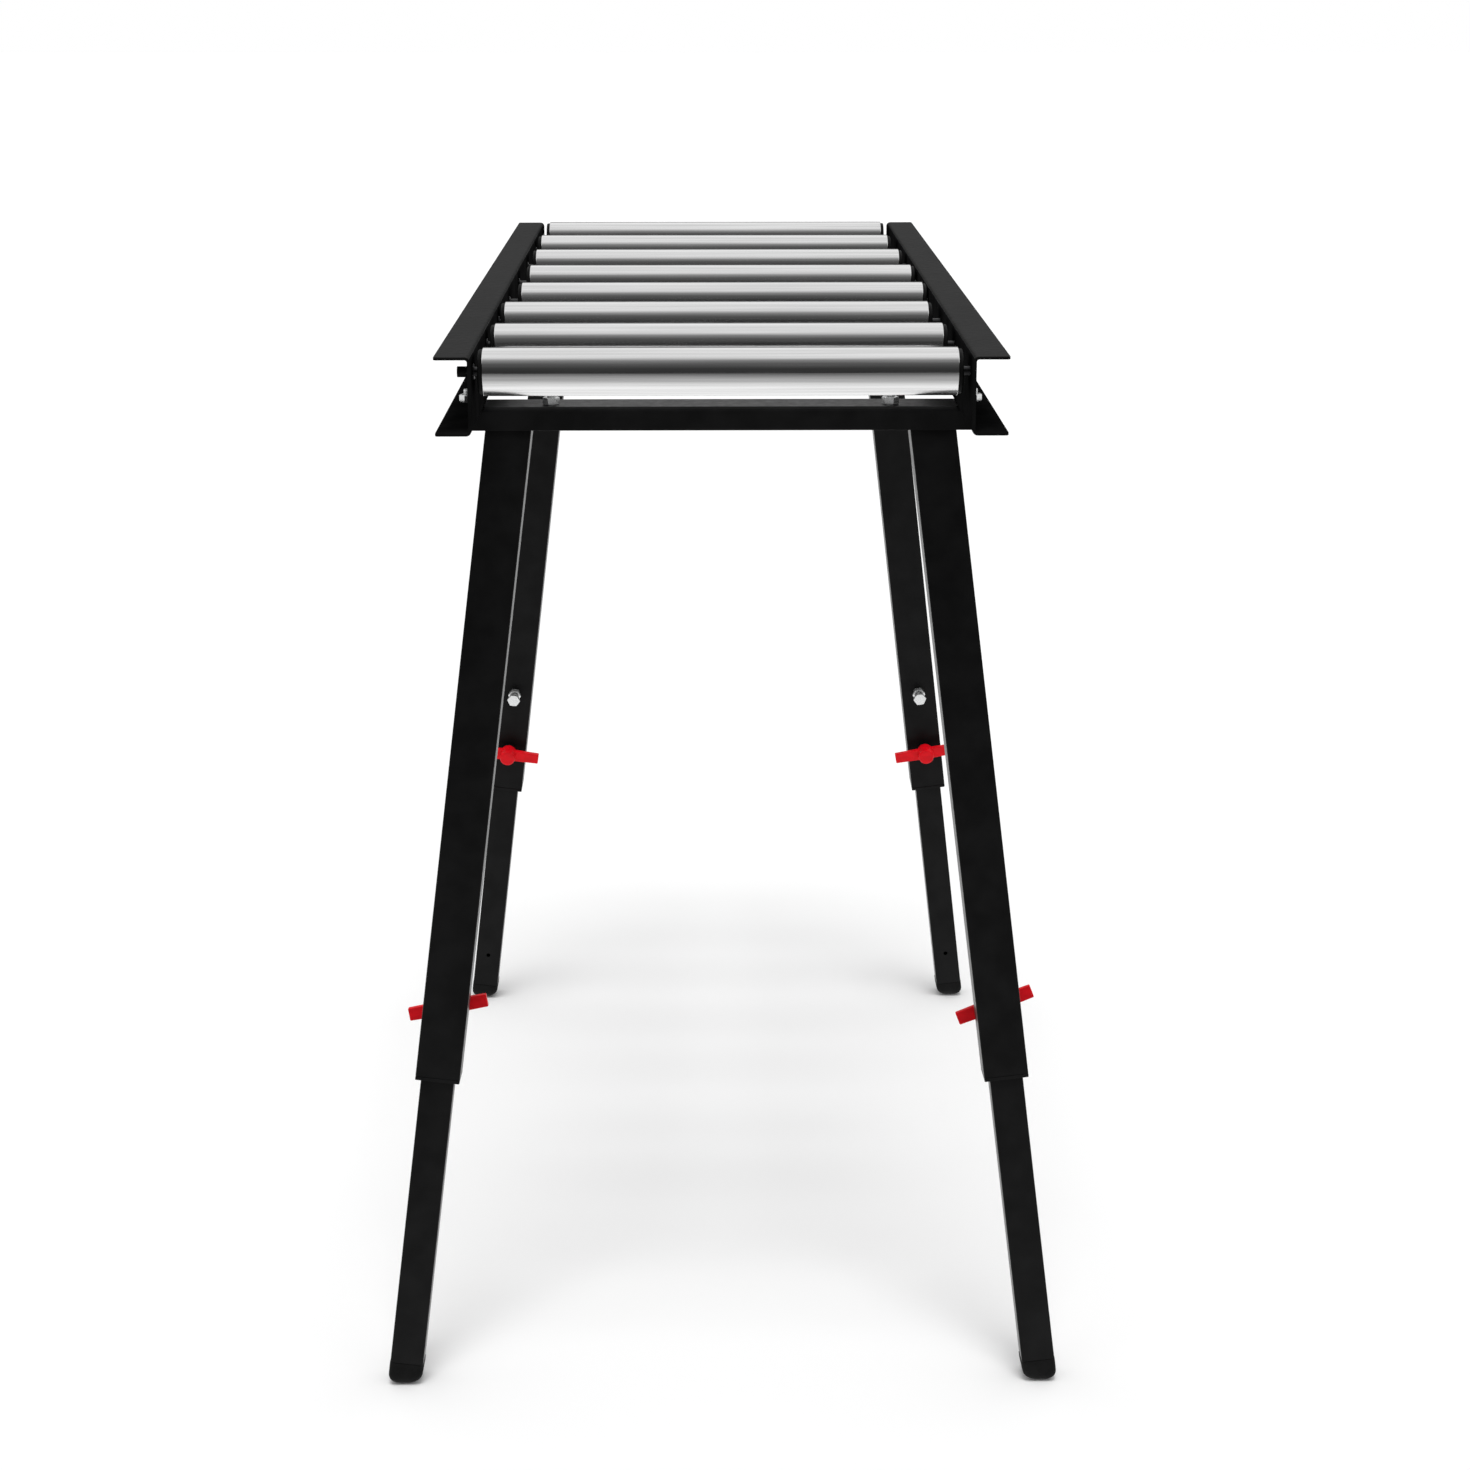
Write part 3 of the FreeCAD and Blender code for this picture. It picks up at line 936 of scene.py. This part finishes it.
def tube_rings(axes, half, start_of, end, lip=0.0):
    """Rings of a square tube: down the outside past a lip's seam, round the lower edge, up the bore."""
    size = sizes()
    edge = size.edge
    seam = size.sleeve_seam
    outside = rounded_square(half, size.tube_corner)
    inside = rounded_square(half - size.tube_wall, edge)
    stations = []
    if lip:
        for depth, above in ((0, lip + seam), (seam, lip), (0, lip - seam)):
            stations.append((inset(outside, depth), end - above))
    for sine, cosine in quarter():
        stations.append((inset(outside, edge * (1 - cosine)), end - edge * (1 - sine)))
    stations.append((inside, end))
    rings = [[axes.at(u, v, along) for u, v in outline] for outline, along in stations]
    first = [axes.at(u, v, start_of(u, v)) for u, v in outside]
    last = [axes.at(u, v, start_of(u, v)) for u, v in inside]
    return [first, *rings, last]


def level_place(axes, u, v, height):
    """Place along the axes' w where the line at u and v reaches a height above the floor."""
    return (height - axes.at(u, v, 0).z) / axes.w.z


def make_upper_leg(name):
    """Square tube, cut level at its top, with its screw holes."""
    node = f"upper_leg_{name}"
    size = sizes()
    axes = leg_axes(name)
    low, high = extent(points_of(node), axes)
    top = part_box(node)[1].z
    half = (high.x - low.x) / 2

    def level_cut(u, v):
        return level_place(axes, u, v, top)

    rings = tube_rings(axes, half, level_cut, high.z, size.sleeve_lip)
    tube = new_object(f"{node}_tube", Shell().loft(rings, looped=True))
    holes = []
    for group in ("clamp_nuts", "lock_nuts"):
        place = middle(solid_near(group, axes.at(0, half, high.z)))
        holes.append((inward_axes(place, axes), size.bolt_hole, -half / 2, half / 2))
    drill(tube, holes)
    finish_piece(tube, "frame", "black_powder_coat", node)


def make_lower_leg(name):
    """Sliding square tube with the small hole above its foot."""
    node = f"lower_leg_{name}"
    size = sizes()
    axes = leg_axes(name)
    low, high = extent(points_of(node), axes)
    half = (high.x - low.x) / 2
    rings = tube_rings(axes, half, lambda u, v: low.z, high.z)
    tube = new_object(f"{node}_tube", Shell().loft(rings, looped=True))
    floor = level_place(axes, 0, 0, 0)
    mouth = axes.at(0, half, floor - size.foot_hole_height)
    drill(tube, [(inward_axes(mouth, axes), size.foot_hole, -half / 2, half / 2)])
    finish_piece(tube, node, "black_powder_coat", node)


class CONVEYOR_OT_legs(bpy.types.Operator):
    """Make the legs' upper and lower tubes"""
    bl_idname = "conveyor.legs"
    bl_label = "Make Legs"

    def execute(self, context):
        for name in LEGS:
            make_upper_leg(name)
            make_lower_leg(name)
        return {"FINISHED"}


# Feet

def make_foot(name):
    """Rubber plug: a stem in the tube and a head that rounds off to a sole flat on the floor."""
    node = f"foot_{name}"
    size = sizes()
    axes = leg_axes(name)
    low, high = extent(points_of(node), axes)
    half = (high.x - low.x) / 2
    top = extent(points_of(f"lower_leg_{name}"), axes)[1].z
    stem = rounded_square(size.foot_stem / 2, size.edge)
    head = rounded_square(half, size.foot_corner)
    stations = [(stem, low.z), (stem, top)]
    for sine, cosine in quarter():
        stations.append((inset(head, size.edge * (1 - sine)), top + size.edge * (1 - cosine)))
    rings = [[axes.at(u, v, along) for u, v in outline] for outline, along in stations]
    for sine, cosine in quarter(SOLE_STEPS):
        drawn_in = size.sole_inset * (1 - cosine)
        corner = min(size.foot_corner + drawn_in / 2, ROUNDEST * (half - drawn_in))
        height = size.foot_dome * (1 - sine)
        outline = rounded_square(half - drawn_in, corner)
        rings.append([axes.at(u, v, level_place(axes, u, v, height)) for u, v in outline])
    add_piece(f"{node}_plug", Shell().loft(rings), f"lower_leg_{name}", "foot_rubber", node)


class CONVEYOR_OT_feet(bpy.types.Operator):
    """Mould the four rubber feet"""
    bl_idname = "conveyor.feet"
    bl_label = "Make Feet"

    def execute(self, context):
        for name in LEGS:
            make_foot(name)
        return {"FINISHED"}


# Clamp knobs

def wing_angle(points, axes):
    """Direction of a knob's wings about its axis: the long way of its points."""
    local = [axes.local(point) for point in points]
    uu = sum(place.x * place.x for place in local)
    vv = sum(place.y * place.y for place in local)
    uv = sum(place.x * place.y for place in local)
    return math.atan2(2 * uv, uu - vv) / 2


def knob_hub(axes, radius, height):
    """Round hub with a rounded rim and a blind bore for the screw."""
    size = sizes()
    bore = size.bolt / 2 + CLEARANCE
    edge = size.edge
    rim = round_rim(radius, size.knob_rim)
    profile = [(size.knob_bore, bore), (0, bore), (0, radius - edge), (edge, radius)]
    profile += [(height - depth, ring) for depth, ring in reversed(rim)]
    return Shell().lathe(axes, profile, HUB_STEPS)


def wing_rings(axes, side, hub, tip, reach, back, front):
    """Sections of one wing, thicker where it leaves the hub and rounded at its end."""
    size = sizes()
    corner = size.wing_corner
    start = WING_ROOT * hub
    flare_end = FLARE_END * hub
    stations = []
    for step in range(FLARE_STEPS + 1):
        along = start + (flare_end - start) * step / FLARE_STEPS
        swell = size.wing_flare * ((flare_end - along) / (flare_end - start)) ** 2
        stations.append((along, swell))
    for sine, cosine in quarter(RIM_STEPS):
        stations.append((reach - corner * (1 - sine), -corner * (1 - cosine)))
    rings = []
    for along, swell in stations:
        taper = WING_TAPER * (reach - along) / reach
        section = rounded_box(tip * (1 + taper) + swell, back - swell, front + swell, corner)
        rings.append([axes.at(side * along, v, w) for v, w in section])
    return rings


def make_knob(name):
    """Hub with two wings, moulded in one piece."""
    node = f"clamp_knob_{name}"
    points = points_of(node)
    axes = inward_axes(JOINTS[f"clamp_turn_{name}"]["pos_m"], leg_axes(name))
    axes = axes.turned(wing_angle(points, axes))
    places = [axes.local(point) for point in points]
    height = max(place.z for place in places)
    reach = max(place.x for place in places)
    wing_ends = [place for place in places if abs(place.x) > WING_END * reach]
    tip = max(place.y for place in wing_ends)
    back = min(place.z for place in wing_ends)
    front = max(place.z for place in wing_ends)
    hub_face = [place for place in places if place.z > front + HUB_FACE * (height - front)]
    radius = max(place.y for place in hub_face)
    knob = new_object(f"{node}_moulding", knob_hub(axes, radius, height))
    wings = Shell()
    for side in (1, -1):
        wings.loft(wing_rings(axes, side, radius, tip, reach, back, front))
    combine(knob, wings, "UNION")
    finish_piece(knob, f"clamp_knob_{name}", "red_plastic", node)


class CONVEYOR_OT_knobs(bpy.types.Operator):
    """Mould the four clamp knobs"""
    bl_idname = "conveyor.knobs"
    bl_label = "Make Clamp Knobs"

    def execute(self, context):
        for name in LEGS:
            make_knob(name)
        return {"FINISHED"}


# Threaded fasteners

def hex_radius(angle):
    """Distance from a hexagon's middle to its side, with a corner at angle zero."""
    past_corner = angle % (math.pi / 3)
    return sizes().across_flats / 2 / math.cos(past_corner - math.pi / 6)


def crown_radius():
    """Radius of the round flat on top of a nut or a bolt head."""
    return CROWN_SHARE * sizes().across_flats / 2


def hex_ring(axes, base, fall):
    """Ring on a hexagon's sides where the crown's cone meets them, below the base for a negative fall."""
    crown = crown_radius()

    def shape(angle):
        radius = hex_radius(angle)
        return radius, base + fall * (radius - crown) * CONE_SLOPE

    return axes.ring(HEX_STEPS, shape)


def add_nut(shell, axes, height):
    """Hex nut with a coned crown on both sides and a chamfered bore."""
    size = sizes()
    crown = crown_radius()
    bore = size.bolt / 2 + CLEARANCE
    edge = size.thread_depth
    shell.loft([
        axes.circle(HEX_STEPS, 0, bore + edge),
        axes.circle(HEX_STEPS, 0, crown),
        hex_ring(axes, 0, 1),
        hex_ring(axes, height, -1),
        axes.circle(HEX_STEPS, height, crown),
        axes.circle(HEX_STEPS, height, bore + edge),
        axes.circle(HEX_STEPS, height - edge, bore),
        axes.circle(HEX_STEPS, edge, bore),
    ], looped=True)


def thread_rings(axes, start, end, steps):
    """Rings of a screw thread from start to the chamfered tip at end."""
    size = sizes()
    major = size.bolt / 2
    depth = size.thread_depth
    pitch = size.thread_pitch
    count = max(2, round((end - start) / pitch * ROWS_PER_TURN))
    rings = []
    for row in range(count + 1):
        along = start + (end - start) * row / count
        run_out = min(1.0, (along - start) / pitch)
        chamfer = max(0.0, depth - (end - along))

        def shape(angle):
            phase = (along / pitch - angle / math.tau) % 1.0
            flank = 1 - abs(2 * phase - 1)
            ridge = min(1.0, max(0.0, (flank - THREAD_FLAT) / (1 - 2 * THREAD_FLAT)))
            radius = major - depth * run_out * (1 - ridge)
            return min(radius, major - chamfer), along

        rings.append(axes.ring(steps, shape))
    return rings


def add_bolt(shell, axes, length_of_shank):
    """Hex bolt with its head below the origin and a threaded end at the shank's tip."""
    size = sizes()
    crown = crown_radius()
    head = size.head_height
    thread_start = max(WASHER_FACE, length_of_shank - size.thread_run)
    rings = [
        axes.circle(HEX_STEPS, -head, crown),
        hex_ring(axes, -head, 1),
        hex_ring(axes, -WASHER_FACE, 0),
        axes.circle(HEX_STEPS, -WASHER_FACE, crown),
        axes.circle(HEX_STEPS, 0, crown),
        axes.circle(HEX_STEPS, 0, size.bolt / 2),
    ]
    shell.loft(rings + thread_rings(axes, thread_start, length_of_shank, HEX_STEPS))


def upright_places(group, turn=0.0):
    """Points and axes of a group's upright solids, turned in mirror image on the two sides."""
    places = []
    for points in solids_of(group):
        place = middle(points)
        axes = upright_axes(place, 0)
        places.append((points, axes.turned(math.copysign(turn, -place.x))))
    return places


def leg_places(group, axes_on_leg):
    """Points and axes of a group's solids on the legs' inner faces."""
    places = []
    for name in LEGS:
        leg = leg_axes(name)
        points = solid_near(group, leg.origin)
        places.append((points, axes_on_leg(middle(points), leg)))
    return places


def make_bolts(group, places):
    """Hex bolts in place of a group's solids."""
    shell = Shell()
    for points, axes in places:
        low, high = extent(points, axes)
        seat = low.z + sizes().head_height
        add_bolt(shell, axes.moved(seat), high.z - seat)
    add_piece(f"{group}_threaded", shell, "frame", "zinc_fastener", group)


def make_nuts(group, places, kind=None):
    """Hex nuts in place of a group's solids."""
    shell = Shell()
    for points, axes in places:
        low, high = extent(points, axes)
        add_nut(shell, axes.moved(low.z), high.z - low.z)
    add_piece(f"{group}_hex", shell, "frame", "zinc_fastener", group, kind=kind)


def make_clamp_screw(name):
    """Threaded rod from the knob to the lower tube."""
    node = f"clamp_screw_{name}"
    points = points_of(node)
    axes = outward_axes(middle(points), leg_axes(name))
    low, high = extent(points, axes)
    shell = Shell().loft(thread_rings(axes, low.z, high.z, THREAD_STEPS))
    add_piece(f"{node}_threaded", shell, node, "zinc_fastener", node)


class CONVEYOR_OT_fasteners(bpy.types.Operator):
    """Make the bolts, nuts and clamp screws with their threads"""
    bl_idname = "conveyor.fasteners"
    bl_label = "Make Fasteners"

    def execute(self, context):
        make_bolts("frame_bolts", upright_places("frame_bolts"))
        make_nuts("frame_nuts", upright_places("frame_nuts", NUT_TURN))
        make_nuts("clamp_nuts", leg_places("clamp_nuts", inward_axes), kind="black_powder_coat")
        make_nuts("lock_nuts", leg_places("lock_nuts", inward_axes))
        make_bolts("lock_bolts", leg_places("lock_bolts", outward_axes))
        for name in LEGS:
            make_clamp_screw(name)
        return {"FINISHED"}


# Finishes of the nodes that stay

class CONVEYOR_OT_finishes(bpy.types.Operator):
    """Give every construction node the finish of its material slot"""
    bl_idname = "conveyor.finishes"
    bl_label = "Finish the Construction"

    def execute(self, context):
        for row in frame["record"]["subparts"]:
            mesh = frame["nodes"][row["node"]].data
            mesh.materials.clear()
            mesh.materials.append(finish_of(row["material_slot"]))
        return {"FINISHED"}


# Stage

def camera_ray(tree):
    """One where the camera looks straight at a surface, and zero in reflections and light."""
    return tree.nodes.new("ShaderNodeLightPath").outputs["Is Camera Ray"]


def floor_finish():
    """White floor that keeps the shadow; mirrored, it is white under the object and greyer in front."""
    finish = Finish("floor_white")
    finish.set(Base_Color=FLOOR_GREY, Roughness=FLOOR_ROUGHNESS, Specular_IOR_Level=0.0)
    finish.set(Emission_Color=WHITE, Emission_Strength=FLOOR_LIFT)
    tree = finish.tree
    along = add_split(tree, finish.place, "Y")
    nearness = finish.spread(along, 0.0, 1.0, FLOOR_FAR, FLOOR_NEAR)
    bounce = add_node(tree, "ShaderNodeEmission", Color=add_ramp(tree, nearness, greys(FLOOR_BOUNCE)))
    mix = add_node(tree, "ShaderNodeMixShader", Fac=camera_ray(tree))
    connect(tree, bounce.outputs["Emission"], mix.inputs[1])
    connect(tree, finish.shader.outputs["BSDF"], mix.inputs[2])
    fill(tree, tree.nodes["Material Output"], Surface=mix.outputs["Shader"])
    return finish.material


def make_floor(stage):
    half = stage.floor_size / 2
    corners = [(-half, -half, 0), (half, -half, 0), (half, half, 0), (-half, half, 0)]
    mesh = bpy.data.meshes.new("floor")
    mesh.from_pydata(corners, [], [(0, 1, 2, 3)])
    floor = bpy.data.objects.new("floor", mesh)
    bpy.context.scene.collection.objects.link(floor)
    mesh.materials.append(floor_finish())


def make_world(scene):
    """Studio round the object: dark low in front and low behind, bright above, white to the camera."""
    world = bpy.data.worlds.new("studio")
    scene.world = world
    world.use_nodes = True
    tree = world.node_tree
    direction = tree.nodes.new("ShaderNodeTexCoord").outputs["Generated"]
    to_front = add_math(tree, "MULTIPLY", add_split(tree, direction, "Y"), -1.0)
    round_angle = add_math(tree, "ARCTAN2", add_split(tree, direction, "Z"), to_front)
    share = add_math(tree, "DIVIDE", round_angle, math.pi)
    studio = add_ramp(tree, share, greys(STUDIO_ROUND))
    fill(tree, tree.nodes["Background"], Color=add_mix(tree, camera_ray(tree), studio, WHITE))


def make_light(scene, name, strength, tilt, softness):
    """Distant soft light that leans to the front; reflections show the studio instead."""
    lamp = bpy.data.lights.new(name, "SUN")
    lamp.energy = strength
    lamp.angle = softness
    light = bpy.data.objects.new(name, lamp)
    light.rotation_euler = (tilt, 0, 0)
    light.visible_glossy = False
    scene.collection.objects.link(light)


def make_camera(scene, stage):
    lens = bpy.data.cameras.new("camera")
    lens.lens = stage.lens
    lens.shift_y = stage.shift
    camera = bpy.data.objects.new("camera", lens)
    camera.location = stage.camera_place
    camera.rotation_euler = (math.pi / 2 - stage.camera_down, 0, -stage.camera_right)
    scene.collection.objects.link(camera)
    scene.camera = camera


class CONVEYOR_OT_stage(bpy.types.Operator):
    """Set up the floor, the soft light and the camera"""
    bl_idname = "conveyor.stage"
    bl_label = "Set the Stage"

    def execute(self, context):
        scene = context.scene
        stage = scene.conveyor_stage
        scene.view_settings.view_transform = "Standard"
        make_floor(stage)
        make_world(scene)
        make_light(scene, "key", stage.key_strength, stage.key_tilt, stage.key_softness)
        make_light(scene, "fill", stage.fill_strength, stage.fill_tilt, stage.fill_softness)
        make_camera(scene, stage)
        return {"FINISHED"}


# Panel and start

class CONVEYOR_PT_panel(bpy.types.Panel):
    """Lists the conveyor's pieces"""
    bl_idname = "CONVEYOR_PT_panel"
    bl_label = "Roller Conveyor"
    bl_space_type = "VIEW_3D"
    bl_region_type = "UI"
    bl_category = "Conveyor"

    def draw(self, context):
        for operator in OPERATORS:
            self.layout.operator(operator.bl_idname)


OPERATORS = (
    CONVEYOR_OT_finishes,
    CONVEYOR_OT_rails,
    CONVEYOR_OT_rollers,
    CONVEYOR_OT_axles,
    CONVEYOR_OT_legs,
    CONVEYOR_OT_feet,
    CONVEYOR_OT_knobs,
    CONVEYOR_OT_fasteners,
    CONVEYOR_OT_stage,
)
CLASSES = (ConveyorSizes, ConveyorColours, ConveyorStage, *OPERATORS, CONVEYOR_PT_panel)


def register():
    for cls in CLASSES:
        bpy.utils.register_class(cls)
    bpy.types.Scene.conveyor_sizes = PointerProperty(type=ConveyorSizes)
    bpy.types.Scene.conveyor_colours = PointerProperty(type=ConveyorColours)
    bpy.types.Scene.conveyor_stage = PointerProperty(type=ConveyorStage)


def unregister():
    del bpy.types.Scene.conveyor_stage
    del bpy.types.Scene.conveyor_colours
    del bpy.types.Scene.conveyor_sizes
    for cls in reversed(CLASSES):
        bpy.utils.unregister_class(cls)


def main():
    register()
    for operator in OPERATORS:
        group, name = operator.bl_idname.split(".")
        getattr(getattr(bpy.ops, group), name)()


if __name__ == "__main__":
    main()
